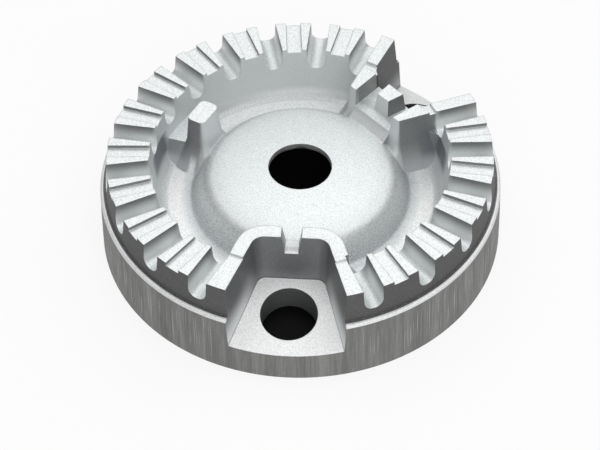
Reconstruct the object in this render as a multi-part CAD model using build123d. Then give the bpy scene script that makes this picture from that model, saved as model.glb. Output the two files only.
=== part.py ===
from build123d import *
import math
import os

# Overall sizes, in mm and degrees
RIM_DIAMETER = 55.0
HEIGHT = 13.7

# Rim, shelf and crown, from the rim inward, with depths below the tooth tops
RIM_DRAFT = 2.3
RIM_EDGE_HEIGHT = 0.5
RIM_EDGE_WIDTH = 0.35
SHELF_DEPTH = 4.5
SHELF_WIDTH = 0.4
CROWN_DRAFT = 6.3
TOOTH_LENGTH = 5.65

# Bowl, dome and centre hole
BOWL_TAPER = 5.0
BOWL_DEPTH = 8.0
TROUGH_WIDTH = 4.75
TROUGH_FILLET = 1.9
FLANK_WIDTH = 1.8
DOME_FOOT_BEVEL = 0.5
DOME_SHOULDER_DEPTH = 4.12
DOME_SHOULDER_ROUND = 2.3
DOME_DEPTH = 2.8
CENTRE_HOLE_DIAMETER = 8.6
CENTRE_HOLE_LAND = 0.9
CENTRE_FLARE_WIDTH = 1.7

# Hollow underside
SKIN = 2.0
SKIRT_WALL = 2.2
SKIRT_DRAFT = 3.0

# Flame ports: round-bottomed slots on one pitch either side of the electrode notch
PORT_PITCH = 17.4
PORT_RIGHT_ANGLE = 24.9
PORT_LEFT_ANGLE = 25.95
PORTS_RIGHT = 6
PORTS_LEFT = 11
PORT_FLOOR_WIDTH = 2.5
PORT_FLOOR_FLAT = 0.1
PORT_TOP_WIDTH = 2.8
PORT_DEPTH = 3.2

# Shallow channel along the top of each full tooth
CHANNEL_WIDTH = 2.1
CHANNEL_DEPTH = 0.5

# Notches: pockets cut in from the rim, each with a sloping platform and a hole
NOTCH_DRAFT = 4.0
NOTCH_CORNER = 1.8
BLOCK_DRAFT = 6.0
PLATFORM_TILT = 11.5
PLATFORM_THICKNESS = 3.7

ELECTRODE_ANGLE = -90.0
ELECTRODE_LENGTH = 11.75
ELECTRODE_HALF_WIDTH = 4.6
ELECTRODE_SPREAD = 18.5
ELECTRODE_ARM = 1.9
ELECTRODE_RIM_DEPTH = 9.5
ELECTRODE_HOLE_DIAMETER = 7.5
ELECTRODE_HOLE_INSET = 6.15

THERMO_ANGLE = 46.0
THERMO_LENGTH = 9.2
THERMO_HALF_WIDTH = 4.85
THERMO_SPREAD = 22.0
THERMO_ARM = 1.65
THERMO_CORNER = 0.5
THERMO_RIM_DEPTH = 10.1
THERMO_HOLE_DIAMETER = 7.5
THERMO_HOLE_INSET = 4.65

# Notch blocks and side lug in the bowl: bevel in the corner to the bowl wall and flares down to the trough
CORNER_BEVEL = 1.1
FLARE_DEPTH = 4.6
FLARE_ANGLE = 31.0

# Arch round the electrode notch and its ignition slot
ARCH_RISE = 0.3
SLOT_TOP_WIDTH = 2.6
SLOT_FLOOR_WIDTH = 1.8
SLOT_DEPTH = 2.6
RAMP_ANGLE = 45.0

# Sill of the thermocouple notch, open between two pads
SILL_LENGTH = 4.6
SILL_HALF_WIDTH = 3.65
SILL_SPREAD = 6.5
SILL_DRAFT = 4.0
SILL_DEPTH = 2.7
PAD_LENGTH = 4.3
PAD_STEP = 0.4

# Cap lugs, level with the tooth tops
LUG_DRAFT = 6.0
THERMO_LUG_SETBACK = 1.7
THERMO_LUG_LENGTH = 2.5
THERMO_LUG_INNER_WIDTH = 2.1
THERMO_LUG_OUTER_WIDTH = 2.8
SIDE_LUG_ANGLE = 153.8
SIDE_LUG_INSET = 4.85
SIDE_LUG_LENGTH = 4.15
SIDE_LUG_WIDTH = 2.7
SIDE_LUG_ROUND = 0.8
SIDE_WEB_WIDTH = 3.2
SIDE_WEB_WALL_WIDTH = 5.6
SIDE_WEB_DEPTH = 4.9


def tan(angle):
    return math.tan(math.radians(angle))


def cos(angle):
    return math.cos(math.radians(angle))


def block_half(half_width, arm, spread, run):
    """Half width of a notch block at its inner end, a run inward of the end of its notch."""
    return half_width + arm / cos(spread) - run * tan(spread)


# Heights and radii that follow from the sizes above
SHELF = HEIGHT - SHELF_DEPTH
TROUGH = HEIGHT - BOWL_DEPTH
DOME_TOP = HEIGHT - DOME_DEPTH
RIM_RADIUS = RIM_DIAMETER / 2
RIM_TOP_RADIUS = RIM_RADIUS - (SHELF - RIM_EDGE_HEIGHT) * tan(RIM_DRAFT)
CROWN_FOOT_RADIUS = RIM_TOP_RADIUS - RIM_EDGE_WIDTH - SHELF_WIDTH
CROWN_RADIUS = CROWN_FOOT_RADIUS - SHELF_DEPTH * tan(CROWN_DRAFT)
BOWL_RADIUS = CROWN_RADIUS - TOOTH_LENGTH
DOME_FOOT_RADIUS = BOWL_RADIUS - BOWL_DEPTH * tan(BOWL_TAPER) - TROUGH_WIDTH
DOME_SHOULDER_RADIUS = DOME_FOOT_RADIUS - FLANK_WIDTH
HOLE_RADIUS = CENTRE_HOLE_DIAMETER / 2
ELECTRODE_INNER = RIM_RADIUS - ELECTRODE_LENGTH
THERMO_INNER = RIM_RADIUS - THERMO_LENGTH
THERMO_BLOCK_INNER = THERMO_INNER - SILL_LENGTH
ARCH_INNER = ELECTRODE_INNER - ELECTRODE_ARM
ARCH_HALF_WIDTH = block_half(ELECTRODE_HALF_WIDTH, ELECTRODE_ARM, ELECTRODE_SPREAD, ELECTRODE_ARM)
THERMO_BLOCK_HALF_WIDTH = block_half(THERMO_HALF_WIDTH, THERMO_ARM, THERMO_SPREAD, SILL_LENGTH)
SIDE_LUG_RADIUS = BOWL_RADIUS - SIDE_LUG_INSET
OUTSIDE = RIM_RADIUS + 3
OVERLAP = 0.05
FROM_MIDDLE = (Align.MIN, Align.CENTER, Align.CENTER)


def bowl_wall(depth):
    """Radius of the bowl wall at a depth below the tooth tops."""
    return BOWL_RADIUS - depth * tan(BOWL_TAPER)


def outer_contour():
    """Rim, shelf and crown from the foot up, as radius and height."""
    return [
        (RIM_RADIUS, 0),
        (RIM_TOP_RADIUS, SHELF - RIM_EDGE_HEIGHT),
        (RIM_TOP_RADIUS - RIM_EDGE_WIDTH, SHELF),
        (CROWN_FOOT_RADIUS, SHELF),
        (CROWN_RADIUS, HEIGHT),
    ]


def turn(face):
    return revolve(Plane.XZ * face, Axis.Z)


def dome_sphere():
    """Height of the centre and radius of the sphere through the hole edge and the dome shoulder."""
    shoulder = HEIGHT - DOME_SHOULDER_DEPTH
    low = DOME_TOP ** 2 + HOLE_RADIUS ** 2 - shoulder ** 2 - DOME_SHOULDER_RADIUS ** 2
    centre = low / (2 * (DOME_TOP - shoulder))
    return centre, math.hypot(HOLE_RADIUS, DOME_TOP - centre)


def bowl_floor(offset):
    """Dome arc and trough corners as radius and height, moved down into the casting by an offset."""
    centre, ball = dome_sphere()
    ball -= offset
    run = DOME_FOOT_RADIUS - DOME_SHOULDER_RADIUS
    flank = math.atan2(BOWL_DEPTH - DOME_SHOULDER_DEPTH, run)
    turn_half = math.tan(flank / 2)
    foot = (DOME_FOOT_RADIUS - offset * turn_half, TROUGH - offset)
    wall_half = tan(45 - BOWL_TAPER / 2)
    corner = (bowl_wall(BOWL_DEPTH) + offset * wall_half, TROUGH - offset)
    along = foot[0] * math.cos(flank) - (foot[1] - centre) * math.sin(flank)
    across = foot[0] * math.sin(flank) + (foot[1] - centre) * math.cos(flank)
    back = along + math.sqrt(ball ** 2 - across ** 2)
    shoulder = (foot[0] - back * math.cos(flank), foot[1] + back * math.sin(flank))

    def on_dome(radius):
        return (radius, centre + math.sqrt(ball ** 2 - radius ** 2))

    return on_dome, shoulder, foot, corner


def corner_at(section, point):
    return section.vertices().sort_by_distance((*point, 0))[0]


def casting():
    """Turned body: crown, bowl, dome and the hollow underneath."""
    on_dome, shoulder, foot, corner = bowl_floor(0)
    under_dome, under_shoulder, under_foot, under_corner = bowl_floor(SKIN)
    flare = HOLE_RADIUS + CENTRE_FLARE_WIDTH
    hole_top = on_dome(HOLE_RADIUS)
    flare_top = under_dome(flare)
    ceiling = HEIGHT - PORT_DEPTH - SKIN
    skirt_foot = (RIM_RADIUS - SKIRT_WALL, 0)
    ring_end = (skirt_foot[0] - ceiling * tan(SKIRT_DRAFT), ceiling)
    ring_wall = bowl_wall(PORT_DEPTH + SKIN) + SKIN / cos(BOWL_TAPER)
    ring_start = (min(ring_wall, ring_end[0] - SKIN), ceiling)

    outer = Polyline(*outer_contour(), (BOWL_RADIUS, HEIGHT), corner, foot, shoulder)
    dome = ThreePointArc(shoulder, on_dome((HOLE_RADIUS + shoulder[0]) / 2), hole_top)
    hole = Polyline(hole_top, (HOLE_RADIUS, DOME_TOP - CENTRE_HOLE_LAND), flare_top)
    shell = ThreePointArc(flare_top, under_dome((flare + under_shoulder[0]) / 2), under_shoulder)
    below = Polyline(under_shoulder, under_foot, under_corner, ring_start, ring_end, skirt_foot,
                     (RIM_RADIUS, 0))
    face = make_face([*outer.edges(), dome, *hole.edges(), shell, *below.edges()])
    face = fillet(corner_at(face, corner), TROUGH_FILLET)
    face = chamfer(corner_at(face, foot), DOME_FOOT_BEVEL)
    return turn(fillet(corner_at(face, shoulder), DOME_SHOULDER_ROUND))


def under_bowl():
    """Everything below the middle of the skin of the bowl and dome."""
    on_dome, shoulder, foot, corner = bowl_floor(SKIN / 2)
    top = on_dome(0)
    arc = ThreePointArc(shoulder, on_dome(shoulder[0] / 2), top)
    edge = Polyline(top, (0, 0), (corner[0], 0), corner, foot, shoulder)
    return turn(make_face([arc, *edge.edges()]))


def envelope():
    """Everything inside the outer contour."""
    return turn(make_face(Polyline((0, 0), *outer_contour(), (0, HEIGHT), close=True)))


def wedge_outline(inner, half_width, spread, corner):
    """Plan of a notch: straight inner end, sides spreading outward, rounded inner corners."""
    far = half_width + (OUTSIDE - inner) * tan(spread)
    points = [(inner, -half_width), (OUTSIDE, -far), (OUTSIDE, far), (inner, half_width)]
    face = make_face(Polyline(*points, close=True))
    return fillet(face.vertices().sort_by(Axis.X)[:2], corner)


def below_platform(rim_depth, offset):
    """Block under a plane that falls outward and meets the rim at a depth below the tooth tops."""
    size = 4 * RIM_RADIUS
    block = Box(size, size, size, align=(Align.CENTER, Align.CENTER, Align.MAX))
    return Pos(RIM_RADIUS, 0, HEIGHT - rim_depth - offset) * Rot(0, PLATFORM_TILT, 0) * block


def wall_corner(side):
    """Bevel below a port, in the corner between one side of the thermocouple block and the bowl wall."""
    slope = tan(THERMO_SPREAD)
    grow = 1 + slope ** 2
    sections = []
    for depth in (PORT_DEPTH, BOWL_DEPTH + SKIN / 4):
        wall = bowl_wall(depth)
        half = THERMO_BLOCK_HALF_WIDTH + depth * tan(BLOCK_DRAFT) / cos(THERMO_SPREAD)
        reach = half - THERMO_BLOCK_INNER * slope
        x = (math.sqrt(grow * wall ** 2 - reach ** 2) - slope * reach) / grow
        y = slope * x + reach
        step = CORNER_BEVEL * cos(THERMO_SPREAD)
        on_side = (x - step, y - step * slope - OVERLAP)
        on_wall = (x - CORNER_BEVEL * y / wall, y + CORNER_BEVEL * x / wall)
        within = (x + SKIN / 4 * x / wall, y + SKIN / 4 * y / wall)
        points = [(px, side * py) for px, py in (on_side, within, on_wall)]
        sections.append(Plane.XY.offset(HEIGHT - depth) * make_face(Polyline(*points, close=True)))
    return loft(sections, ruled=True)


def flared(face):
    """Foot of a feature, spreading from a level face down to the trough and the bowl wall."""
    depth = face.center().Z - TROUGH + SKIN / 3
    foot = extrude(face, depth, dir=(0, 0, -1), taper=-FLARE_ANGLE)
    return (foot & Cylinder(bowl_wall(BOWL_DEPTH) + SKIN / 2, 3 * HEIGHT)) - under_bowl()


def flared_foot(outline, draft):
    """Flared foot of a feature that stands down from the tooth tops."""
    upper = extrude(Plane.XY.offset(HEIGHT) * outline, FLARE_DEPTH, dir=(0, 0, -1), taper=-draft)
    return flared(upper.faces().sort_by(Axis.Z)[0])


def notch_block(outline, rim_depth):
    """Solid that carries one notch: its arms, inner end and platform."""
    top = Plane.XY.offset(HEIGHT)
    block = extrude(top * outline, HEIGHT, dir=(0, 0, -1), taper=-BLOCK_DRAFT)
    return (block & envelope()) - below_platform(rim_depth, PLATFORM_THICKNESS)


def arch_cap(outline):
    """Top of the arch, standing a little over the tooth tops."""
    cap = extrude(Plane.XY.offset(HEIGHT) * outline, ARCH_RISE)
    return cap & Pos(0, 0, HEIGHT) * Cylinder(BOWL_RADIUS, 4 * ARCH_RISE)


def notch_pocket(inner, half_width, spread, rim_depth):
    """Space of one notch down to its platform."""
    start = HEIGHT + 1
    grow = tan(NOTCH_DRAFT)
    lean = 1 / cos(spread) - tan(spread)
    wide = wedge_outline(inner - grow, half_width + grow * lean, spread, NOTCH_CORNER)
    pocket = extrude(Plane.XY.offset(start) * wide, HEIGHT, dir=(0, 0, -1), taper=NOTCH_DRAFT)
    return pocket - below_platform(rim_depth, 0)


def hole_tool(inset, diameter):
    """Upright hole through a platform, with its axis at an inset from the rim."""
    return Pos(RIM_RADIUS - inset, 0, HEIGHT / 2) * Cylinder(diameter / 2, HEIGHT)


def slot_tool(top_width, floor_width, depth, start, end):
    """Slot along the radius with sides closing towards its floor."""
    top = HEIGHT + 1
    grow = (top_width - floor_width) / 2 / depth
    half = top_width / 2 + grow
    points = [(-floor_width / 2, HEIGHT - depth), (floor_width / 2, HEIGHT - depth),
              (half, top), (-half, top)]
    face = make_face(Polyline(*points, close=True))
    return extrude(Plane.YZ.offset(start) * face, end - start)


def ramp(start, depth, width):
    """Sloping step from a slot floor down to the dome."""
    top = HEIGHT - depth
    run = (top - TROUGH) / tan(RAMP_ANGLE)
    points = [(start + SKIN, top), (start, top), (start - run, TROUGH), (start + SKIN, TROUGH)]
    face = make_face(Polyline(*points, close=True))
    return extrude(Plane.XZ * face, width / 2, both=True) - under_bowl()


def port_tool():
    """Round-bottomed flame port along the radius."""
    depth = PORT_DEPTH + 1
    points = [(-PORT_FLOOR_WIDTH / 2, 0), (PORT_FLOOR_WIDTH / 2, 0),
              (PORT_TOP_WIDTH / 2, depth), (-PORT_TOP_WIDTH / 2, depth)]
    face = make_face(Polyline(*points, close=True))
    face = fillet(face.vertices().sort_by(Axis.Y)[:2], (PORT_FLOOR_WIDTH - PORT_FLOOR_FLAT) / 2)
    inward = CROWN_RADIUS - bowl_wall(PORT_DEPTH) + 0.3
    tool = extrude(Plane.YZ.offset(-inward) * face, inward + OUTSIDE - CROWN_RADIUS)
    return Pos(CROWN_RADIUS, 0, HEIGHT - PORT_DEPTH) * tool


def channel_tool():
    """Shallow channel along a tooth top."""
    start = BOWL_RADIUS - 2
    tool = Box(OUTSIDE - start, CHANNEL_WIDTH, 2 * CHANNEL_DEPTH, align=FROM_MIDDLE)
    return Pos(start, 0, HEIGHT) * tool


def drafted(face, height, draft):
    """Lug standing down from the tooth tops, wider at its foot."""
    return extrude(Plane.XY.offset(HEIGHT) * face, height, dir=(0, 0, -1), taper=-draft)


def thermo_lug():
    """Tapered lug on the sill of the thermocouple notch."""
    inner = THERMO_BLOCK_INNER + THERMO_LUG_SETBACK
    outer = inner + THERMO_LUG_LENGTH
    a = THERMO_LUG_INNER_WIDTH / 2
    b = THERMO_LUG_OUTER_WIDTH / 2
    face = make_face(Polyline((inner, -a), (outer, -b), (outer, b), (inner, a), close=True))
    return drafted(face, SILL_DEPTH + 0.5, LUG_DRAFT)


def side_lug(face):
    """Oblong lug on the flank of the dome."""
    return drafted(face, BOWL_DEPTH + SKIN / 3, LUG_DRAFT) - under_bowl()


def side_web():
    """Low web between the side lug and the bowl wall, wider at the wall."""
    start = SIDE_LUG_RADIUS
    end = bowl_wall(SIDE_WEB_DEPTH) + SKIN / 3
    a = SIDE_WEB_WIDTH / 2
    b = SIDE_WEB_WALL_WIDTH / 2
    face = make_face(Polyline((start, -a), (end, -b), (end, b), (start, a), close=True))
    return flared(Plane.XY.offset(HEIGHT - SIDE_WEB_DEPTH) * face)


def at(angle, shape):
    return Rot(0, 0, angle) * shape


def port_angles():
    right = [ELECTRODE_ANGLE + PORT_RIGHT_ANGLE + PORT_PITCH * k for k in range(PORTS_RIGHT)]
    left = [ELECTRODE_ANGLE - PORT_LEFT_ANGLE - PORT_PITCH * k for k in range(PORTS_LEFT)]
    return right, left


def tooth_angles():
    """Middle of each full tooth, between two ports."""
    right, left = port_angles()
    return [(a + b) / 2 for group in (right, left) for a, b in zip(group, group[1:])]


def with_blocks(body):
    """Notch blocks, side lug and web joined to the turned body."""
    arch = wedge_outline(ARCH_INNER, ARCH_HALF_WIDTH, ELECTRODE_SPREAD, NOTCH_CORNER + ELECTRODE_ARM)
    thermo = wedge_outline(THERMO_BLOCK_INNER, THERMO_BLOCK_HALF_WIDTH, THERMO_SPREAD, THERMO_CORNER)
    lug = Pos(SIDE_LUG_RADIUS, 0) * RectangleRounded(SIDE_LUG_WIDTH, SIDE_LUG_LENGTH, SIDE_LUG_ROUND)
    parts = [at(ELECTRODE_ANGLE, notch_block(arch, ELECTRODE_RIM_DEPTH)),
             at(ELECTRODE_ANGLE, flared_foot(arch, BLOCK_DRAFT)),
             at(ELECTRODE_ANGLE, arch_cap(arch)),
             at(THERMO_ANGLE, notch_block(thermo, THERMO_RIM_DEPTH)),
             at(THERMO_ANGLE, flared_foot(thermo, BLOCK_DRAFT)),
             at(SIDE_LUG_ANGLE, side_lug(lug)),
             at(SIDE_LUG_ANGLE, flared_foot(lug, LUG_DRAFT)),
             at(SIDE_LUG_ANGLE, side_web())]
    parts += [at(THERMO_ANGLE, wall_corner(side)) for side in (1, -1)]
    return body + parts


def with_electrode_notch(body):
    """Pocket, hole and ignition slot of the electrode notch."""
    pocket = notch_pocket(ELECTRODE_INNER, ELECTRODE_HALF_WIDTH, ELECTRODE_SPREAD, ELECTRODE_RIM_DEPTH)
    hole = hole_tool(ELECTRODE_HOLE_INSET, ELECTRODE_HOLE_DIAMETER)
    slot = slot_tool(SLOT_TOP_WIDTH, SLOT_FLOOR_WIDTH, SLOT_DEPTH, ARCH_INNER - 2, ELECTRODE_INNER + 2)
    body += at(ELECTRODE_ANGLE, ramp(ARCH_INNER, SLOT_DEPTH, SLOT_FLOOR_WIDTH))
    for tool in (pocket, hole, slot):
        body -= at(ELECTRODE_ANGLE, tool)
    return body


def sill_tool():
    """Opening over the sill, spreading a little outward, with sides closing towards its floor."""
    half = SILL_HALF_WIDTH + tan(SILL_DRAFT)
    start = THERMO_BLOCK_INNER - 2
    end = THERMO_INNER + 2
    a = half - 2 * tan(SILL_SPREAD)
    b = a + (end - start) * tan(SILL_SPREAD)
    face = make_face(Polyline((start, -a), (end, -b), (end, b), (start, a), close=True))
    top = Plane.XY.offset(HEIGHT + 1)
    return extrude(top * face, SILL_DEPTH + 1, dir=(0, 0, -1), taper=SILL_DRAFT)


def pad_steps():
    """Step at the outer end of the two pads, down to the wall beside the notch."""
    end = THERMO_BLOCK_INNER + PAD_LENGTH
    step = Pos(end, 0, HEIGHT) * Box(2, 4 * THERMO_HALF_WIDTH, 2 * PAD_STEP, align=FROM_MIDDLE)
    return step & Cylinder(BOWL_RADIUS - 0.2, 3 * HEIGHT)


def with_thermo_notch(body):
    """Pocket, hole, open sill, pads and lug of the thermocouple notch."""
    pocket = notch_pocket(THERMO_INNER, THERMO_HALF_WIDTH, THERMO_SPREAD, THERMO_RIM_DEPTH)
    hole = hole_tool(THERMO_HOLE_INSET, THERMO_HOLE_DIAMETER)
    slope = ramp(THERMO_BLOCK_INNER, SILL_DEPTH, 2 * (SILL_HALF_WIDTH - SILL_DEPTH * tan(SILL_DRAFT)))
    for tool in (pocket, hole, sill_tool(), pad_steps()):
        body -= at(THERMO_ANGLE, tool)
    return body + at(THERMO_ANGLE, slope) + at(THERMO_ANGLE, thermo_lug())


def with_ports(body):
    """Flame ports through the crown and the channels on the teeth between them."""
    right, left = port_angles()
    port = port_tool()
    channel = channel_tool()
    tools = [at(angle, port) for angle in right + left]
    tools += [at(angle, channel) for angle in tooth_angles()]
    return body - tools


def build():
    body = with_blocks(casting())
    body = with_electrode_notch(body)
    body = with_thermo_notch(body)
    return with_ports(body)


if __name__ == "__main__":
    os.makedirs("parts", exist_ok=True)
    spreader = build()
    export_step(spreader, "parts/flame_spreader.step")
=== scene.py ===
"""Studio scene of a cast burner flame spreader: cast skin, die draw marks, floor, lamps and camera."""

import logging
import math
from dataclasses import dataclass, field
from enum import Enum, IntEnum
from typing import Any, Union

import bmesh
import bpy
from mathutils import Matrix, Vector


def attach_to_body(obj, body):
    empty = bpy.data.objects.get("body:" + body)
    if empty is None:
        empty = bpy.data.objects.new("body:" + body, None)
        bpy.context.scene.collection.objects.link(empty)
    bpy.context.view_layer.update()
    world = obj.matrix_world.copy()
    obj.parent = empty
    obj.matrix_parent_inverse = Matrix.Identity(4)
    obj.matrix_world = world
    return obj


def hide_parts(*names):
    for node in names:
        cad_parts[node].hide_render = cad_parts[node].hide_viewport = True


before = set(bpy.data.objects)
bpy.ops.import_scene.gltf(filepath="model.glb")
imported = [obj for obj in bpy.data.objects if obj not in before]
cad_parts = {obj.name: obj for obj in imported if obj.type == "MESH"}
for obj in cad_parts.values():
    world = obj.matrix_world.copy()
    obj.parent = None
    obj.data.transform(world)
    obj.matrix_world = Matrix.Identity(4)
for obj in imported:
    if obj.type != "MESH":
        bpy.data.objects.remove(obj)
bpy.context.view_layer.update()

LOG = logging.getLogger("flame_spreader")
MM = 0.001
TINY = 1e-6
NODE = "flame_spreader"
BODY = "root"

Colour = tuple[float, float, float]
Point = tuple[float, float, float]
Span = tuple[float, float]
Value = Union["Field", float]

WHITE: Colour = (1.0, 1.0, 1.0)


class LampRole(Enum):
    """What a studio lamp does for the object."""

    OVERHEAD = "overhead"
    FRONT = "front"
    SIDE = "side"


class Draw(IntEnum):
    """The random draws that each draw mark takes."""

    TURN = 0
    LENGTH = 1
    WIDTH = 2
    HEIGHT = 3


class Field:
    """A shader value that takes part in Python arithmetic.

    Args:
        graph: The graph that the value belongs to.
        socket: The output socket that carries the value.
    """

    def __init__(self, graph: "NodeGraph", socket: bpy.types.NodeSocket) -> None:
        """Keep the graph and the socket."""
        self.graph = graph
        self.socket = socket

    def _math(self, operation: str, *values: Value) -> "Field":
        """Add one Math node.

        Args:
            operation: The Math node's operation.
            values: The values that it takes, in order.

        Returns:
            The result.
        """
        return self.graph.add("ShaderNodeMath", {"operation": operation}, dict(enumerate(values)))

    def __add__(self, other: Value) -> "Field":
        """Sum."""
        return self._math("ADD", self, other)

    __radd__ = __add__

    def __sub__(self, other: Value) -> "Field":
        """Difference."""
        return self._math("SUBTRACT", self, other)

    def __rsub__(self, other: Value) -> "Field":
        """Difference with this value second."""
        return self._math("SUBTRACT", other, self)

    def __mul__(self, other: Value) -> "Field":
        """Product."""
        return self._math("MULTIPLY", self, other)

    __rmul__ = __mul__

    def __truediv__(self, other: Value) -> "Field":
        """Quotient."""
        return self._math("DIVIDE", self, other)

    def __rtruediv__(self, other: Value) -> "Field":
        """Quotient with this value second."""
        return self._math("DIVIDE", other, self)

    def __pow__(self, other: Value) -> "Field":
        """Power."""
        return self._math("POWER", self, other)

    def __abs__(self) -> "Field":
        """Size without its sign."""
        return self._math("ABSOLUTE", self)

    def __lt__(self, other: Value) -> "Field":
        """1 where this value is smaller."""
        return self._math("LESS_THAN", self, other)

    def sine(self) -> "Field":
        """Sine of an angle in radians."""
        return self._math("SINE", self)

    def cosine(self) -> "Field":
        """Cosine of an angle in radians."""
        return self._math("COSINE", self)

    def tangent(self) -> "Field":
        """Tangent of an angle in radians."""
        return self._math("TANGENT", self)

    def over(self, span: Span, base: float = 0.0) -> "Field":
        """Rise smoothly from 0 to 1 across a span.

        Args:
            span: The values that give 0 and 1.
            base: What the span is measured from.

        Returns:
            The mask.
        """
        low, high = (base + end for end in span)
        settings = {"interpolation_type": "SMOOTHSTEP", "clamp": True}
        values = {"Value": self, "From Min": low, "From Max": high, "To Min": 0.0, "To Max": 1.0}
        return self.graph.add("ShaderNodeMapRange", settings, values)

    def under(self, span: Span, base: float = 0.0) -> "Field":
        """Fall smoothly from 1 to 0 across a span.

        Args:
            span: The values that give 1 and 0.
            base: What the span is measured from.

        Returns:
            The mask.
        """
        return 1.0 - self.over(span, base)


class NodeGraph:
    """The node tree of one material, world or rule."""

    def __init__(self, tree: bpy.types.NodeTree) -> None:
        """Empty the tree.

        Args:
            tree: The tree to fill.
        """
        self.tree = tree
        tree.nodes.clear()

    def node(self, kind: str, settings: dict[str, Any], values: dict[Any, Any]) -> bpy.types.Node:
        """Add a node, with its settings before its sockets.

        Args:
            kind: The node's type.
            settings: Properties of the node.
            values: Values or fields for its input sockets, by name or number.

        Returns:
            The node.
        """
        node = self.tree.nodes.new(kind)
        for name, value in settings.items():
            setattr(node, name, value)
        for key, value in values.items():
            self._feed(self._input(node, key), value)
        return node

    def add(self, kind: str, settings: dict[str, Any], values: dict[Any, Any], output: Any = 0) -> Field:
        """Add a node and return one of its outputs.

        Args:
            kind: The node's type.
            settings: Properties of the node.
            values: Values or fields for its input sockets.
            output: The name or number of the output.

        Returns:
            The output as a field.
        """
        node = self.node(kind, settings, values)
        if isinstance(output, int):
            live = [socket for socket in node.outputs if socket.enabled]
            return Field(self, live[output])
        return Field(self, node.outputs[output])

    def mix(self, mask: Value, first: Any, second: Any) -> Field:
        """Blend two colours.

        Args:
            mask: 0 for the first colour, 1 for the second.
            first: A colour or a colour field.
            second: A colour or a colour field.

        Returns:
            The blended colour.
        """
        return self.add("ShaderNodeMix", {"data_type": "RGBA"}, {"Factor": mask, "A": first, "B": second})

    def parts(self, vector: Field) -> list[Field]:
        """Split a vector into its X, Y and Z."""
        split = self.node("ShaderNodeSeparateXYZ", {}, {0: vector})
        return [Field(self, socket) for socket in split.outputs]

    def noise(self, place: Field, scale: float, detail: float, roughness: float = 0.5) -> Field:
        """Add a noise texture.

        Args:
            place: The coordinates that it follows.
            scale: Its spots per metre.
            detail: Its number of finer layers.
            roughness: The strength of each finer layer.

        Returns:
            Noise from 0 to 1.
        """
        values = {"Vector": place, "Scale": scale, "Detail": detail, "Roughness": roughness}
        return self.add("ShaderNodeTexNoise", {}, values, "Fac")

    def stretched(self, place: Field, rise: float) -> Field:
        """Scale coordinates along Z, so that a texture runs upright."""
        return self.add("ShaderNodeMapping", {}, {"Vector": place, "Scale": (1.0, 1.0, rise)})

    def _input(self, node: bpy.types.Node, key: Any) -> bpy.types.NodeSocket:
        """Find an input socket that is in use.

        Args:
            node: The node.
            key: The socket's name, or its number among those in use.

        Returns:
            The socket.
        """
        live = [socket for socket in node.inputs if socket.enabled]
        if isinstance(key, int):
            return live[key]
        return next(socket for socket in live if socket.name == key)

    def _feed(self, socket: bpy.types.NodeSocket, value: Any) -> None:
        """Link a field to a socket or set the socket's own value.

        Args:
            socket: The input socket.
            value: A field, a colour or a plain value.
        """
        if isinstance(value, Field):
            self.tree.links.new(value.socket, socket)
        elif socket.type == "RGBA":
            socket.default_value = (*value[:3], 1.0)
        else:
            socket.default_value = value


def new_material(name: str) -> tuple[bpy.types.Material, NodeGraph, Field]:
    """Start a material.

    Args:
        name: The material's name.

    Returns:
        The material, its empty graph and the object coordinates in it.
    """
    material = bpy.data.materials.new(name)
    material.use_nodes = True
    graph = NodeGraph(material.node_tree)
    return material, graph, graph.add("ShaderNodeTexCoord", {}, {}, "Object")


def plain_mesh(piece: bpy.types.Object, modifier: bpy.types.Modifier) -> None:
    """Keep a modifier's result as the piece's own plain mesh.

    Args:
        piece: The piece.
        modifier: Its only modifier, which is taken off.
    """
    graph = bpy.context.evaluated_depsgraph_get()
    plain = bpy.data.meshes.new_from_object(piece.evaluated_get(graph))
    piece.modifiers.remove(modifier)
    piece.data = plain


@dataclass(frozen=True)
class Notch:
    """Plan of one notch in the rim, with its platform's height at the rim, its hole and the painted shade on
    its walls.
    """

    angle: float
    inner: float
    half_width: float
    spread: float
    platform: float
    hole: float
    dull_tone_and_painted_shade: float


@dataclass(frozen=True)
class CastingShape:
    """Heights and radii of the casting that its finish follows."""

    height: float = 13.7 * MM
    port: float = 10.5 * MM
    land: float = 10.0 * MM
    shelf: float = 9.2 * MM
    rim_edge: float = 8.7 * MM
    trough: float = 5.7 * MM
    centre_hole: float = 4.3 * MM
    dome: float = 15.0 * MM
    bowl: float = 20.25 * MM
    crown: float = 25.9 * MM
    rim_top: float = 26.8 * MM
    rim: float = 27.5 * MM
    rim_draft: float = math.radians(2.3)
    hole_radius: float = 3.75 * MM
    platform_tilt: float = math.radians(11.5)
    nook_reach: float = math.radians(11.0)
    nooks: tuple[float, ...] = (math.radians(18.0), math.radians(171.5))
    notches: tuple[Notch, ...] = (
        Notch(angle=math.radians(-90.0), inner=15.75 * MM, half_width=4.6 * MM, spread=math.radians(18.5),
              platform=4.2 * MM, hole=21.35 * MM, dull_tone_and_painted_shade=0.0),
        Notch(angle=math.radians(46.0), inner=18.3 * MM, half_width=4.85 * MM, spread=math.radians(22.0),
              platform=3.6 * MM, hole=22.85 * MM, dull_tone_and_painted_shade=0.75),
    )


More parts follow.
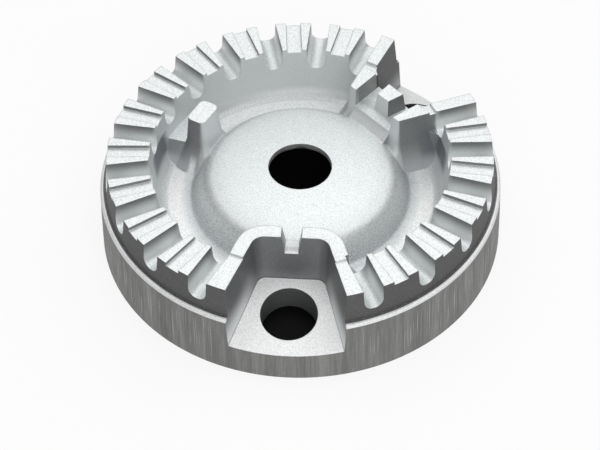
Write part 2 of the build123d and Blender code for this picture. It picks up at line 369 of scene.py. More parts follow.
@dataclass(frozen=True)
class CastZones:
    """Spans across which the zones of the cast finish, and its painted light and shade, fade.

    A span named "up" is of the normal's upward part, and one named "out" of its part away from the axis. The
    others are distances from the height or radius of the casting that the zone is measured from.
    """

    # Open faces: steep ones, which take painted shade, tooth tops, the outside and the underside.
    steep_up: Span = (0.5, 0.9)
    crest_up: Span = (0.35, 0.85)
    crest_height: Span = (-1.2 * MM, -0.8 * MM)
    outer_out: Span = (0.45, 0.85)
    outer_radius: Span = (-0.8 * MM, -0.3 * MM)
    under_up: Span = (-0.6, -0.2)

    # Bowl: painted shade on the wall's foot and its rear fillet, painted light on the bed and the ramps, and
    # a ring of painted shade at the dome's foot.
    foot_out: Span = (-0.3, -0.02)
    foot_height: Span = (2.5 * MM, 3.5 * MM)
    fillet_up: Span = (0.25, 0.75)
    fillet_back: Span = (6.0 * MM, 15.0 * MM)
    bed_radius: Span = (0.8 * MM, 1.6 * MM)
    bed_height: Span = (0.2 * MM, 0.6 * MM)
    ramp_out: Span = (-0.45, -0.2)
    ramp_up: Span = (0.4, 0.55)
    ramp_radius: Span = (1.8 * MM, 2.3 * MM)
    ring_inner: Span = (-0.4 * MM, -0.2 * MM)
    ring_outer: Span = (-0.2 * MM, 1.8 * MM)
    ring_share: float = 0.6

    # What stands in the bowl: painted shade on the tops of corner bevels, on the sides of blocks, lugs and
    # web, and in the nooks.
    ledge_bottom: Span = (-0.5 * MM, -0.3 * MM)
    ledge_top: Span = (0.2 * MM, 0.4 * MM)
    ledge_inner: Span = (1.0 * MM, 1.5 * MM)
    ledge_outer: Span = (-0.5 * MM, -0.35 * MM)
    side_out: Span = (-0.55, -0.2)
    side_height: Span = (0.3 * MM, 4.0 * MM)
    side_inner: Span = (-3.5 * MM, -2.5 * MM)
    side_outer: Span = (-0.4 * MM, 0.0)
    nook_bottom: Span = (0.8 * MM, 2.4 * MM)
    nook_top: Span = (0.0, 0.4 * MM)
    nook_inner: Span = (-3.2 * MM, -2.2 * MM)
    nook_core: float = 0.4

    # Dome: painted shade before the shoulder, and the flank, with painted light at its top and painted shade
    # downward.
    shoulder_shade_inner: Span = (-5.5 * MM, -2.4 * MM)
    shoulder_shade_outer: Span = (-0.4 * MM, -0.2 * MM)
    shoulder_shade_share: float = 0.4
    flank_out: Span = (0.4, 0.85)
    flank_inner: Span = (-3.5 * MM, -2.5 * MM)
    flank_outer: Span = (-0.2 * MM, 0.3 * MM)
    flank_height: Span = (0.2 * MM, 3.6 * MM)

    # Ports: painted light at the feet of their walls, painted shade above and towards the outer end.
    port_out: Span = (0.55, 0.85)
    port_inner: Span = (-0.6 * MM, 0.6 * MM)
    port_foot: float = 0.9 * MM
    port_end: float = 1.5 * MM
    port_end_share: float = 0.25

    # Notches and holes: painted shade on the walls, along their feet and in the holes, painted light near and
    # on the platforms, and a painted highlight on the centre hole's lip.
    notch_inner: Span = (-0.3 * MM, -0.15 * MM)
    notch_side: Span = (0.05 * MM, 0.2 * MM)
    mouth_along: Span = (0.6 * MM, 6.0 * MM)
    mouth_height: Span = (0.6 * MM, 5.0 * MM)
    notch_shade_height: Span = (0.5 * MM, 4.0 * MM)
    wall_foot_shade_height: Span = (0.12 * MM, 0.3 * MM)
    wall_foot_shade_share: float = 0.6
    bore_edge: Span = (0.05 * MM, 0.15 * MM)
    centre_edge: Span = (0.0, 0.1 * MM)
    lip_height: Span = (0.4 * MM, 0.5 * MM)

    # Outside: rim and shelf with painted shade, and the rim's edge with a painted highlight.
    rim_height: Span = (-0.2 * MM, 0.0)
    shelf_bottom: Span = (-0.1 * MM, 0.0)
    shelf_top: Span = (0.2 * MM, 0.4 * MM)
    shelf_inner: Span = (0.2 * MM, 0.4 * MM)
    edge_bottom: Span = (-0.04 * MM, 0.02 * MM)
    edge_top: Span = (0.1 * MM, 0.2 * MM)
    edge_inner: Span = (-0.15 * MM, -0.05 * MM)

    # Share of the grain that steep faces lose and the flank gains.
    steep_grain: float = 0.7
    flank_grain: float = 1.2


@dataclass(frozen=True)
class StreakLayer:
    """One layer of the rim's streaks: its spots per metre, its finer layers and its share of the whole."""

    scale: float
    detail: float
    share: float


@dataclass(frozen=True)
class CastFinish:
    """Fine-grained cast aluminium, bright on its open faces, with painted shade on its steep walls and
    further painted light and shade laid zone by zone.
    """

    top: Colour = (0.86, 0.89, 0.89)
    floor: Colour = (0.875, 0.915, 0.92)
    # Painted shade of the steep faces.
    wall: Colour = (0.77, 0.795, 0.8)
    # Painted light at the top of the dome's flank.
    shoulder: Colour = (0.91, 0.94, 0.94)
    # Painted shade on the dome's flank and before its shoulder.
    flank: Colour = (0.65, 0.67, 0.685)
    # Painted shade in the ring at the dome's foot.
    painted_dome_foot_shade: Colour = (0.46, 0.475, 0.49)
    # Painted shade on the rear fillet of the bowl's wall.
    fillet: Colour = (0.64, 0.66, 0.665)
    # Painted shade in the nooks and on the corner bevels' tops.
    painted_nook_shade: Colour = (0.29, 0.305, 0.325)
    # Painted shade on the sides of the blocks, lugs and web, lighter at their feet.
    side_top: Colour = (0.31, 0.318, 0.322)
    side_foot: Colour = (0.55, 0.565, 0.575)
    # Painted light at the feet of the port walls, painted shade on the walls.
    port_foot: Colour = (0.9, 0.92, 0.92)
    port_wall: Colour = (0.24, 0.244, 0.244)
    # Painted shade on the notch walls, painted light near the platforms.
    notch_wall: Colour = (0.22, 0.226, 0.23)
    notch_foot: Colour = (0.78, 0.8, 0.81)
    # Painted shade on the crown's face and the shelf, and on the rim under its streaks.
    crown_face: Colour = (0.135, 0.137, 0.135)
    rim: Colour = (0.205, 0.206, 0.2)
    rim_streak: Colour = (0.34, 0.342, 0.332)
    under: Colour = (0.42, 0.43, 0.435)
    # Painted shade in the notches' holes.
    bore: Colour = (0.27, 0.28, 0.285)
    # Painted highlight on the centre hole's lip.
    lip: Colour = (0.85, 0.87, 0.87)
    # Dark grain pits, and painted shade on the notch walls and along their feet.
    dark_grain_and_painted_shade: Colour = (0.03, 0.03, 0.032)
    # Pale grain specks, and painted light on the bed, ramps and platforms, and painted highlights on the
    # centre hole's lip and the rim's edge.
    pale_grain_and_painted_light: Colour = (0.96, 0.97, 0.97)
    top_roughness: float = 0.38
    wall_roughness: float = 0.48
    rim_roughness: float = 0.68
    metal: float = 0.72
    platform_metal: float = 0.4
    grain_size: float = 0.17 * MM
    grain_depth: float = 0.03 * MM
    grain_strength: float = 0.9
    grain_detail: float = 2.0
    grain_roughness: float = 0.6
    grain_contrast: float = 0.24
    grain_pits: Span = (0.3, 0.62)
    grain_peaks: Span = (0.5, 0.75)
    edge_round: float = 0.16 * MM
    edge_samples: int = 6
    streak_rise: float = 0.012
    streak_pale: Span = (0.36, 0.7)
    streak_layers: tuple[StreakLayer, ...] = (
        StreakLayer(scale=330.0, detail=1.0, share=0.3),
        StreakLayer(scale=1500.0, detail=2.0, share=0.4),
        StreakLayer(scale=4600.0, detail=1.0, share=0.3),
    )
    zones: CastZones = CastZones()

    def material(self, shape: CastingShape) -> bpy.types.Material:
        """Build the material.

        Args:
            shape: The heights and radii that part the finish into zones.

        Returns:
            The material.
        """
        material, graph, place = new_material("cast_aluminium")
        skin = CastSkin(graph, self, shape, place)
        skin.paint()
        soft = graph.add("ShaderNodeBevel", {"samples": self.edge_samples}, {"Radius": self.edge_round})
        grain = graph.noise(place, 1.0 / self.grain_size, self.grain_detail, self.grain_roughness)
        skin.lay(grain.under(self.grain_pits) * self.grain_contrast * skin.grain, self.dark_grain_and_painted_shade)
        skin.lay(grain.over(self.grain_peaks) * self.grain_contrast * skin.grain, self.pale_grain_and_painted_light)
        bump = graph.add("ShaderNodeBump", {}, {
            "Strength": self.grain_strength, "Distance": self.grain_depth, "Height": grain, "Normal": soft})
        shader = graph.add("ShaderNodeBsdfPrincipled", {}, {
            "Base Color": skin.colour, "Metallic": skin.metal, "Roughness": skin.roughness,
            "Normal": bump}, "BSDF")
        graph.node("ShaderNodeOutputMaterial", {}, {"Surface": shader})
        return material


class CastSkin:
    """Lays the tones of the cast finish, and its painted light and shade, over one another, zone by zone.

    Args:
        graph: The material's graph.
        finish: The tones, and the spans of their zones.
        shape: The heights and radii that the zones follow.
        place: Object coordinates.
    """

    def __init__(self, graph: NodeGraph, finish: CastFinish, shape: CastingShape, place: Field) -> None:
        """Find where the surface lies and which way it faces."""
        self.graph = graph
        self.finish = finish
        self.shape = shape
        self.zones = finish.zones
        self.place = place
        normal = graph.add("ShaderNodeNewGeometry", {}, {}, "Normal")
        self.x, self.y, self.z = graph.parts(place)
        normal_x, normal_y, self.up = graph.parts(normal)
        self.radius = (self.x * self.x + self.y * self.y) ** 0.5
        self.outward = (normal_x * self.x + normal_y * self.y) / (self.radius + TINY)
        self.steep = self.up.under(self.zones.steep_up)
        # Steep faces take the darker wall tone: painted shade.
        self.colour = graph.mix(self.steep, finish.floor, finish.wall)
        self.roughness: Value = finish.wall_roughness
        self.metal: Value = finish.metal
        self.grain: Value = 1.0 - self.steep * self.zones.steep_grain

    def lay(self, mask: Field, tone: Any) -> None:
        """Lay a tone over the colour so far.

        Args:
            mask: 1 where the tone covers.
            tone: A colour or a colour field.
        """
        self.colour = self.graph.mix(mask, self.colour, tone)

    def paint(self) -> None:
        """Lay all zones, each over the ones before it."""
        self._bowl()
        self._sides()
        self._nooks()
        self._dome()
        self._ports()
        bored = self._notches()
        self._crest()
        self._holes(bored)
        self._outside()
        self.lay(self.up.under(self.zones.under_up), self.finish.under)

    def _bowl(self) -> None:
        """Lay painted shade on the wall's foot and its rear fillet, painted light on the bed and the ramps,
        and a ring of painted shade at the dome's foot.
        """
        finish, shape, zones = self.finish, self.shape, self.zones
        # Painted shade on the wall's foot, and more of it on the rear fillet.
        foot = self.outward.under(zones.foot_out) * self.z.under(zones.foot_height, shape.trough)
        self.lay(foot, finish.wall)
        self.lay(foot * self.y.over(zones.fillet_back) * self.up.over(zones.fillet_up), finish.fillet)
        # Painted light on the bed and on the ramps.
        bed = self.radius.over(zones.bed_radius, shape.dome) * self.z.under(zones.bed_height, shape.trough)
        self.lay(bed * (1.0 - foot), finish.pale_grain_and_painted_light)
        ramp = self.outward.under(zones.ramp_out) * self.up.over(zones.ramp_up)
        self.lay(ramp * self.radius.under(zones.ramp_radius, shape.dome), finish.pale_grain_and_painted_light)
        # A ring of painted shade at the dome's foot.
        ring = self.radius.over(zones.ring_inner, shape.dome)
        ring = ring * self.radius.under(zones.ring_outer, shape.dome) * (1.0 - self.steep)
        self.lay(ring * zones.ring_share, finish.painted_dome_foot_shade)

    def _sides(self) -> None:
        """Lay painted shade on the tops of the corner bevels and on the sides of the blocks, the lugs and the
        web, less of it towards their feet.
        """
        finish, shape, zones = self.finish, self.shape, self.zones
        # Painted shade on the tops of the corner bevels.
        ledge = self.z.over(zones.ledge_bottom, shape.port) * self.z.under(zones.ledge_top, shape.port)
        ledge = ledge * self.radius.over(zones.ledge_inner, shape.dome)
        self.lay(ledge * self.radius.under(zones.ledge_outer, shape.bowl), finish.painted_nook_shade)
        inside = self.radius.over(zones.side_inner, shape.dome)
        inside = inside * self.radius.under(zones.side_outer, shape.bowl)
        tone = self.graph.mix(self.z.over(zones.side_height, shape.trough), finish.side_foot, finish.side_top)
        # Painted shade on sides that do not face the axis, less of it towards their feet.
        self.lay(self.steep * inside * self.outward.over(zones.side_out), tone)

    def _nooks(self) -> None:
        """Lay painted shade on two stretches of the bowl's wall."""
        shape, zones = self.shape, self.zones
        reach = (math.cos(shape.nook_reach), math.cos(shape.nook_reach * zones.nook_core))
        dark: Value = 0.0
        for angle in shape.nooks:
            near = (self.x * math.cos(angle) + self.y * math.sin(angle)) / (self.radius + TINY)
            dark = near.over(reach) + dark
        level = self.z.over(zones.nook_bottom, shape.trough) * self.z.under(zones.nook_top, shape.port)
        mask = dark * level * self.radius.over(zones.nook_inner, shape.bowl)
        # Painted shade on the bowl's wall at the nooks.
        self.lay(mask * self.steep, self.finish.painted_nook_shade)

    def _dome(self) -> None:
        """Lay painted shade before the shoulder, and the flank with painted light at its top and painted
        shade lower down, where the grain shows most.
        """
        finish, shape, zones = self.finish, self.shape, self.zones
        # Painted shade on the dome's top before the shoulder.
        wear_and_shade = self.radius.over(zones.shoulder_shade_inner, shape.dome)
        wear_and_shade = wear_and_shade * self.radius.under(zones.shoulder_shade_outer, shape.dome)
        self.lay(wear_and_shade * zones.shoulder_shade_share, finish.flank)
        # Painted light at the flank's top, painted shade lower down.
        flank = self.radius.over(zones.flank_inner, shape.dome) * self.outward.over(zones.flank_out)
        flank = flank * self.radius.under(zones.flank_outer, shape.dome)
        tone = self.graph.mix(self.z.over(zones.flank_height, shape.trough), finish.flank, finish.shoulder)
        self.lay(flank, tone)
        self.grain = self.grain + flank * zones.flank_grain

    def _ports(self) -> None:
        """Lay painted shade on the walls of the flame ports, with painted light at their feet."""
        finish, shape, zones = self.finish, self.shape, self.zones
        port = abs(self.outward).under(zones.port_out) * self.radius.over(zones.port_inner, shape.bowl)
        wall = self.z.over((shape.port + zones.port_foot, shape.height))
        tone = self.graph.mix(wall, finish.port_foot, finish.port_wall)
        end = self.radius.over((shape.bowl + zones.port_end, shape.crown))
        tone = self.graph.mix(end * zones.port_end_share, tone, finish.port_wall)
        # Painted light at the walls' feet, painted shade above and towards the outer end.
        self.lay(self.steep * port * self.z.over((shape.shelf, shape.port)), tone)

    def _notches(self) -> Field:
        """Lay painted shade on the walls of the two notches, and painted light near and on their platforms.

        Returns:
            The mask of their holes.
        """
        finish, shape, zones = self.finish, self.shape, self.zones
        inside: Value = 0.0
        mouth: Value = 0.0
        dull_tone_and_painted_shade: Value = 0.0
        rise: Value = 0.0
        bored: Value = 0.0
        for notch in shape.notches:
            along = self.x * math.cos(notch.angle) + self.y * math.sin(notch.angle)
            across = abs(self.y * math.cos(notch.angle) - self.x * math.sin(notch.angle))
            limit = notch.half_width + (along - notch.inner) * math.tan(notch.spread)
            here = along.over(zones.notch_inner, notch.inner) * (across - limit).under(zones.notch_side)
            height = self.z - (notch.platform + (shape.rim - along) * math.tan(shape.platform_tilt))
            apart = ((along - notch.hole) * (along - notch.hole) + across * across) ** 0.5
            inside = here + inside
            mouth = here * along.over(zones.mouth_along, notch.inner) * (1.0 - notch.dull_tone_and_painted_shade) + mouth
            dull_tone_and_painted_shade = here * height.over(zones.notch_shade_height) * notch.dull_tone_and_painted_shade + dull_tone_and_painted_shade
            rise = here * height + rise
            bored = here * apart.under(zones.bore_edge, shape.hole_radius) + bored
        # Painted shade on the walls, painted light on them near the platform.
        tone = self.graph.mix(rise.under(zones.mouth_height) * mouth, finish.notch_wall, finish.notch_foot)
        # More painted shade on the thermocouple notch's walls and along the walls' feet.
        tone = self.graph.mix(dull_tone_and_painted_shade + rise.under(zones.wall_foot_shade_height) * zones.wall_foot_shade_share, tone, finish.dark_grain_and_painted_shade)
        self.lay(inside * self.steep, tone)
        # Painted light on the platforms.
        platform = inside * (1.0 - self.steep)
        self.lay(platform, finish.pale_grain_and_painted_light)
        self.metal = self.metal + platform * (finish.platform_metal - finish.metal)
        return bored

    def _crest(self) -> None:
        """Lay the smooth tops of the teeth."""
        finish, zones = self.finish, self.zones
        crest = self.up.over(zones.crest_up) * self.z.over(zones.crest_height, self.shape.height)
        self.lay(crest, finish.top)
        self.roughness = self.roughness + crest * (finish.top_roughness - finish.wall_roughness)

    def _holes(self, bored: Field) -> None:
        """Lay painted shade in the notches' holes, and a painted highlight on the centre hole's lip.

        Args:
            bored: The mask of the notches' holes.
        """
        finish, shape, zones = self.finish, self.shape, self.zones
        # Painted shade in the notches' holes.
        self.lay(bored * self.steep, finish.bore)
        # Painted highlight on the centre hole's lip.
        tone = self.graph.mix(self.z.under(zones.lip_height, shape.land), finish.lip, finish.pale_grain_and_painted_light)
        self.lay(self.radius.under(zones.centre_edge, shape.centre_hole) * self.steep, tone)

    def _outside(self) -> None:
        """Lay painted shade on the crown's face, the shelf and the rim, the rim's draw streaks, and a painted
        highlight on the rim's edge.
        """
        finish, shape, zones = self.finish, self.shape, self.zones
        outer = self.outward.over(zones.outer_out) * self.radius.over(zones.outer_radius, shape.crown)
        self.roughness = self.roughness + outer * (finish.rim_roughness - finish.wall_roughness)
        low = self.z.under(zones.rim_height, shape.shelf)
        # Painted shade on the crown's face and on the shelf.
        self.lay(outer * (1.0 - low), finish.crown_face)
        level = self.z.over(zones.shelf_bottom, shape.shelf) * self.z.under(zones.shelf_top, shape.shelf)
        self.lay(level * self.radius.over(zones.shelf_inner, shape.crown), finish.crown_face)
        # Painted shade on the rim, with its pale draw streaks.
        self.lay(outer * low, self.graph.mix(self._streaks(), finish.rim, finish.rim_streak))
        # Painted highlight on the rim's edge.
        band = self.z.over(zones.edge_bottom, shape.rim_edge) * self.z.under(zones.edge_top, shape.shelf)
        self.lay(band * self.radius.over(zones.edge_inner, shape.rim_top), finish.pale_grain_and_painted_light)

    def _streaks(self) -> Field:
        """Add up the layers of the rim's upright draw streaks.

        Returns:
            The mask of the pale streaks.
        """
        drawn = self.graph.stretched(self.place, self.finish.streak_rise)
        pale: Value = 0.0
        for layer in self.finish.streak_layers:
            pale = self.graph.noise(drawn, layer.scale, layer.detail) * layer.share + pale
        return pale.over(self.finish.streak_pale)


@dataclass(frozen=True)
class DrawnFinish:
    """Burnished metal of the fine ridges drawn down the rim."""

    dull_tone_and_painted_shade: Colour = (0.22, 0.221, 0.215)
    bright: Colour = (0.41, 0.412, 0.4)
    roughness: float = 0.42
    metal: float = 0.72
    patch: float = 0.6 * MM
    patch_rise: float = 0.1
    patch_detail: float = 2.0
    wear_and_shade: Span = (0.35, 0.65)

    def material(self) -> bpy.types.Material:
        """Build the material.

        Returns:
            The material.
        """
        material, graph, place = new_material("drawn_aluminium")
        drawn = graph.stretched(place, self.patch_rise)
        wear_and_shade = graph.noise(drawn, 1.0 / self.patch, self.patch_detail).over(self.wear_and_shade)
        shader = graph.add("ShaderNodeBsdfPrincipled", {}, {
            "Base Color": graph.mix(wear_and_shade, self.dull_tone_and_painted_shade, self.bright), "Metallic": self.metal,
            "Roughness": self.roughness}, "BSDF")
        graph.node("ShaderNodeOutputMaterial", {}, {"Surface": shader})
        return material


@dataclass(frozen=True)
class FloorFinish:
    """Plain pale studio floor that keeps a soft shadow and is dark inside the casting's foot."""

    colour: Colour = (0.9, 0.9, 0.9)
    shade: Colour = (0.02, 0.02, 0.02)
    shade_radius: float = 27.2 * MM
    shade_edge: Span = (-0.4 * MM, 0.0)
    brightness: float = 1.0
    share: float = 0.85

    def material(self) -> bpy.types.Material:
        """Build the material.

        Returns:
            The material.
        """
        material, graph, place = new_material("studio_floor")
        path = graph.node("ShaderNodeLightPath", {}, {})
        seen: Value = 0.0
        for ray in ("Is Camera Ray", "Is Glossy Ray", "Is Transmission Ray"):
            seen = Field(graph, path.outputs[ray]) + seen
        apart = graph.add("ShaderNodeVectorMath", {"operation": "LENGTH"}, {0: place}, "Value")
        clear = apart.over(self.shade_edge, self.shade_radius)
        dark = graph.add("ShaderNodeBsdfDiffuse", {}, {"Color": self.shade})
        matt = graph.add("ShaderNodeBsdfDiffuse", {}, {"Color": self.colour})
        white = graph.add("ShaderNodeEmission", {}, {"Color": WHITE, "Strength": self.brightness})
        pale = graph.add("ShaderNodeMixShader", {}, {0: seen * self.share, 1: matt, 2: white})
        mixed = graph.add("ShaderNodeMixShader", {}, {0: clear, 1: dark, 2: pale})
        graph.node("ShaderNodeOutputMaterial", {}, {"Surface": mixed})
        return material


@dataclass
class Casting:
    """The whole casting, shaded smooth across its soft feet and crisp at its edges."""

    shape: CastingShape = field(default_factory=CastingShape)
    finish: CastFinish = field(default_factory=CastFinish)
    weld: float = 0.002 * MM
    crisp_angle: float = math.radians(57.0)
    flat_angle: float = math.radians(0.4)
    area_weight: int = 80

    def build(self) -> bpy.types.Object:
        """Weld a copy of the solid's mesh and shade it.

        Returns:
            The casting.
        """
        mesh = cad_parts[NODE].data.copy()
        mesh.name = "casting"
        self._weld(mesh)
        casting = bpy.data.objects.new("casting", mesh)
        bpy.context.scene.collection.objects.link(casting)
        self._even_normals(casting)
        self.dress(casting)
        return casting

    def dress(self, casting: bpy.types.Object) -> None:
        """Give the casting its finish.

        Args:
            casting: The casting.
        """
        casting.data.materials.clear()
        casting.data.materials.append(self.finish.material(self.shape))

    def _weld(self, mesh: bpy.types.Mesh) -> None:
        """Join loose triangles, merge flat ones and mark the crisp edges.

        Args:
            mesh: The mesh to change.
        """
        work = bmesh.new()
        work.from_mesh(mesh)
        bmesh.ops.remove_doubles(work, verts=work.verts, dist=self.weld)
        bmesh.ops.dissolve_limit(work, angle_limit=self.flat_angle, verts=work.verts, edges=work.edges)
        for face in work.faces:
            face.smooth = True
        for edge in work.edges:
            blunt = len(edge.link_faces) == 2 and edge.calc_face_angle(math.pi) < self.crisp_angle
            edge.smooth = blunt and not self._on_rim_edge(edge)
        work.to_mesh(mesh)
        work.free()

    def _on_rim_edge(self, edge: bmesh.types.BMEdge) -> bool:
        """Tell whether an edge runs along the foot of the rim's bright edge."""
        return all(abs(vert.co.z - self.shape.rim_edge) < self.weld and vert.co.xy.length > self.shape.rim_top
                   for vert in edge.verts)

    def _even_normals(self, casting: bpy.types.Object) -> None:
        """Weigh the normals by face area and keep them in a plain mesh.

        Args:
            casting: The casting.
        """
        modifier = casting.modifiers.new("even_normals", "WEIGHTED_NORMAL")
        modifier.keep_sharp = True
        modifier.weight = self.area_weight
        plain_mesh(casting, modifier)


@dataclass
class DrawMarks:
    """Fine upright ridges that the die drew down the rim's side, clear of the notches."""

    shape: CastingShape = field(default_factory=CastingShape)
    finish: DrawnFinish = field(default_factory=DrawnFinish)
    count: int = 320
    seed: int = 11
    seed_step: float = 10.0
    low: float = 1.0 * MM
    high: float = 8.3 * MM
    shortest: float = 3.5 * MM
    longest: float = 7.2 * MM
    narrowest: float = 0.05 * MM
    widest: float = 0.18 * MM
    proud: float = 0.008 * MM
    notch_reach: float = math.radians(20.5)
    rings: int = 5
    sides: int = 6
    end_girth: float = 0.2

    def build(self) -> bpy.types.Object:
        """Run the rule and keep its result as a plain mesh.

        Returns:
            The marks.
        """
        marks = bpy.data.objects.new("draw_marks", bpy.data.meshes.new("draw_marks"))
        bpy.context.scene.collection.objects.link(marks)
        inputs = {"Count": self.count, "Seed": self.seed, "Low": self.low, "High": self.high,
                  "Shortest": self.shortest, "Longest": self.longest, "Narrowest": self.narrowest,
                  "Widest": self.widest, "Proud": self.proud, "Rim Radius": self.shape.rim,
                  "Draft": self.shape.rim_draft, "Notch Reach": self.notch_reach,
                  "Finish": self.finish.material()}
        modifier = marks.modifiers.new("draw_marks", "NODES")
        modifier.node_group = self._rule(inputs)
        for socket in modifier.node_group.interface.items_tree:
            if socket.in_out == "INPUT":
                modifier[socket.identifier] = inputs[socket.name]
        plain_mesh(marks, modifier)
        return marks

    def _rule(self, inputs: dict[str, Any]) -> bpy.types.NodeTree:
        """Build the tree that sets the ridges round the rim.

        Args:
            inputs: The tree's inputs, by name.

        Returns:
            The tree, with a named input for each size.
        """
        tree = bpy.data.node_groups.new("draw_marks", "GeometryNodeTree")
        graph = NodeGraph(tree)
        kinds = {int: "NodeSocketInt", float: "NodeSocketFloat", bpy.types.Material: "NodeSocketMaterial"}
        for name, value in inputs.items():
            tree.interface.new_socket(name, in_out="INPUT", socket_type=kinds[type(value)])
        tree.interface.new_socket("Geometry", in_out="OUTPUT", socket_type="NodeSocketGeometry")
        entry = graph.node("NodeGroupInput", {}, {})
        size = {socket.name: Field(graph, socket) for socket in entry.outputs if socket.name}
        index = graph.add("GeometryNodeInputIndex", {}, {})

        jitter = self._chance(graph, size, 0.0, 1.0, Draw.TURN)
        angle = (index + jitter) * (2.0 * math.pi) / size["Count"]
        length = self._chance(graph, size, size["Shortest"], size["Longest"], Draw.LENGTH)
        width = self._chance(graph, size, size["Narrowest"], size["Widest"], Draw.WIDTH)
        spare = size["High"] - size["Low"] - length
        middle = size["Low"] + length * 0.5 + spare * self._chance(graph, size, 0.0, 1.0, Draw.HEIGHT)
        reach = size["Rim Radius"] - middle * size["Draft"].tangent()
        clear: Value = 1.0
        for notch in self.shape.notches:
            clear = ((angle - notch.angle).cosine() < size["Notch Reach"].cosine()) * clear

        seat = self._vector(graph, angle.cosine() * reach, angle.sine() * reach, middle)
        lean = self._vector(graph, 0.0, 0.0 - size["Draft"], angle)
        scale = self._vector(graph, size["Proud"] * 2.0, width, length)
        points = graph.add("GeometryNodePoints", {}, {"Count": size["Count"], "Position": seat})
        placed = graph.add("GeometryNodeInstanceOnPoints", {}, {
            "Points": points, "Selection": clear, "Instance": self._ridge(graph), "Rotation": lean,
            "Scale": scale})
        solid = graph.add("GeometryNodeRealizeInstances", {}, {"Geometry": placed})
        smooth = graph.add("GeometryNodeSetShadeSmooth", {}, {"Geometry": solid})
        dressed = graph.add("GeometryNodeSetMaterial", {}, {"Geometry": smooth, "Material": size["Finish"]})
        graph.node("NodeGroupOutput", {}, {"Geometry": dressed})
        return tree

    @staticmethod
    def _vector(graph: NodeGraph, *parts: Value) -> Field:
        """Join X, Y and Z into a vector."""
        return graph.add("ShaderNodeCombineXYZ", {}, dict(enumerate(parts)))

    def _chance(self, graph: NodeGraph, size: dict[str, Field], low: Value, high: Value, draw: Draw) -> Field:
        """Draw a random value for each ridge.

        Args:
            graph: The rule's graph.
            size: The rule's inputs, which hold the seed.
            low: The smallest value.
            high: The largest value.
            draw: Which draw it is, so that no two draws are the same.

        Returns:
            The value.
        """
        seed = size["Seed"] * self.seed_step + float(draw)
        values = {"Min": low, "Max": high, "Seed": seed}
        return graph.add("FunctionNodeRandomValue", {"data_type": "FLOAT"}, values)

    def _ridge(self, graph: NodeGraph) -> Field:
        """Make one ridge of unit size along Z, thinned towards both ends.

        Args:
            graph: The rule's graph.

        Returns:
            The ridge.
        """
        ends = {"Start": (0.0, 0.0, -0.5), "End": (0.0, 0.0, 0.5)}
        line = graph.add("GeometryNodeCurvePrimitiveLine", {}, ends)
        line = graph.add("GeometryNodeResampleCurve", {}, {"Curve": line, "Count": self.rings})
        along = graph.add("GeometryNodeSplineParameter", {}, {}, "Factor")
        girth = self.end_girth + along * (1.0 - along) * (4.0 * (1.0 - self.end_girth))
        ring = {"Resolution": self.sides, "Radius": 0.5}
        profile = graph.add("GeometryNodeCurvePrimitiveCircle", {}, ring, "Curve")
        return graph.add("GeometryNodeCurveToMesh", {}, {
            "Curve": line, "Profile Curve": profile, "Scale": girth, "Fill Caps": True})


@dataclass(frozen=True)
class Lamp:
    """A soft square lamp that looks at the casting, with its side in metres and its power in watts."""

    role: LampRole
    place: Point
    side: float
    power: float

    def hang(self) -> None:
        """Put the lamp in the scene."""
        light = bpy.data.lights.new(f"{self.role.value}_lamp", "AREA")
        light.shape = "SQUARE"
        light.size = self.side
        light.energy = self.power
        lamp = bpy.data.objects.new(light.name, light)
        lamp.location = self.place
        lamp.rotation_euler = (-Vector(self.place)).to_track_quat("-Z", "Y").to_euler()
        bpy.context.scene.collection.objects.link(lamp)


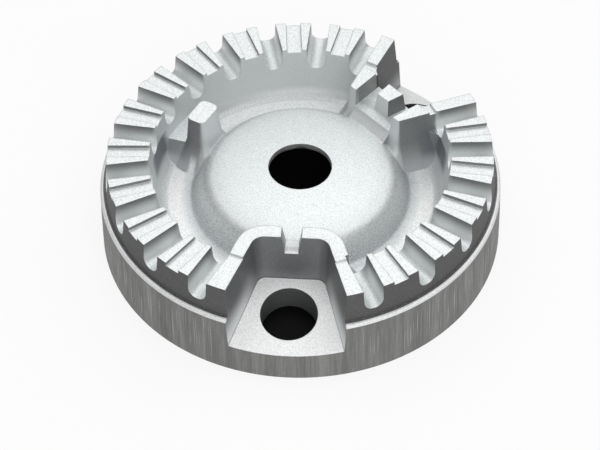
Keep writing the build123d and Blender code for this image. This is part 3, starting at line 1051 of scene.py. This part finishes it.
@dataclass
class Studio:
    """Floor, lamps, world and camera."""

    floor: FloorFinish = field(default_factory=FloorFinish)
    floor_size: float = 3.0
    world_strength: float = 0.3
    lamps: tuple[Lamp, ...] = (
        Lamp(LampRole.OVERHEAD, place=(0.06, 0.13, 0.5), side=0.9, power=2.8),
        Lamp(LampRole.FRONT, place=(0.08, -0.5, 0.27), side=0.45, power=1.02),
        Lamp(LampRole.SIDE, place=(-0.42, -0.05, 0.22), side=0.25, power=0.04),
    )
    target: Vector = field(default_factory=lambda: Vector((-0.14, 0.0, -0.945)) * MM)
    distance: float = 249.363 * MM
    azimuth: float = math.radians(4.706)
    elevation: float = math.radians(47.799)
    roll: float = math.radians(-0.932)
    lens_pixels: float = 1781.5
    image_width: float = 600.0
    sensor: float = 36.0
    clip_start: float = 10.0 * MM

    def build(self) -> None:
        """Set up the whole studio."""
        self._floor()
        self._world()
        for lamp in self.lamps:
            lamp.hang()
        self._camera()
        bpy.context.scene.view_settings.view_transform = "Standard"

    def _floor(self) -> None:
        """Lay the floor under the casting."""
        half = self.floor_size / 2
        mesh = bpy.data.meshes.new("floor")
        corners = [(-half, -half, 0.0), (half, -half, 0.0), (half, half, 0.0), (-half, half, 0.0)]
        mesh.from_pydata(corners, [], [(0, 1, 2, 3)])
        mesh.materials.append(self.floor.material())
        plane = bpy.data.objects.new("floor", mesh)
        bpy.context.scene.collection.objects.link(plane)

    def _world(self) -> None:
        """Light the scene evenly from all round."""
        world = bpy.data.worlds.new("studio")
        world.use_nodes = True
        graph = NodeGraph(world.node_tree)
        sky = graph.add("ShaderNodeBackground", {}, {"Color": WHITE, "Strength": self.world_strength})
        graph.node("ShaderNodeOutputWorld", {}, {"Surface": sky})
        bpy.context.scene.world = world

    def _camera(self) -> None:
        """Set the camera where the photographer stood."""
        level = math.cos(self.elevation)
        back = Vector((math.sin(self.azimuth) * level, -math.cos(self.azimuth) * level,
                       math.sin(self.elevation)))
        right = Vector((math.cos(self.azimuth), math.sin(self.azimuth), 0.0))
        rise = back.cross(right)
        turned = right * math.cos(self.roll) + rise * math.sin(self.roll)
        stood = rise * math.cos(self.roll) - right * math.sin(self.roll)
        pose = Matrix((turned, stood, back)).transposed().to_4x4()
        pose.translation = self.target + back * self.distance
        lens = bpy.data.cameras.new("camera")
        lens.sensor_width = self.sensor
        lens.lens = self.lens_pixels / self.image_width * self.sensor
        lens.clip_start = self.clip_start
        camera = bpy.data.objects.new("camera", lens)
        camera.matrix_world = pose
        bpy.context.scene.collection.objects.link(camera)
        bpy.context.scene.camera = camera


def attach(piece: bpy.types.Object) -> None:
    """Let a piece ride on the casting's body and log its number of faces.

    Args:
        piece: The piece.
    """
    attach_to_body(piece, BODY)
    LOG.info("%s: %d faces", piece.name, len(piece.data.polygons))


def main() -> None:
    """Build the casting and the studio."""
    logging.basicConfig(level=logging.INFO)
    casting = Casting().build()
    attach(casting)
    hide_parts(NODE)
    attach(DrawMarks().build())
    Studio().build()


if __name__ == "__main__":
    main()
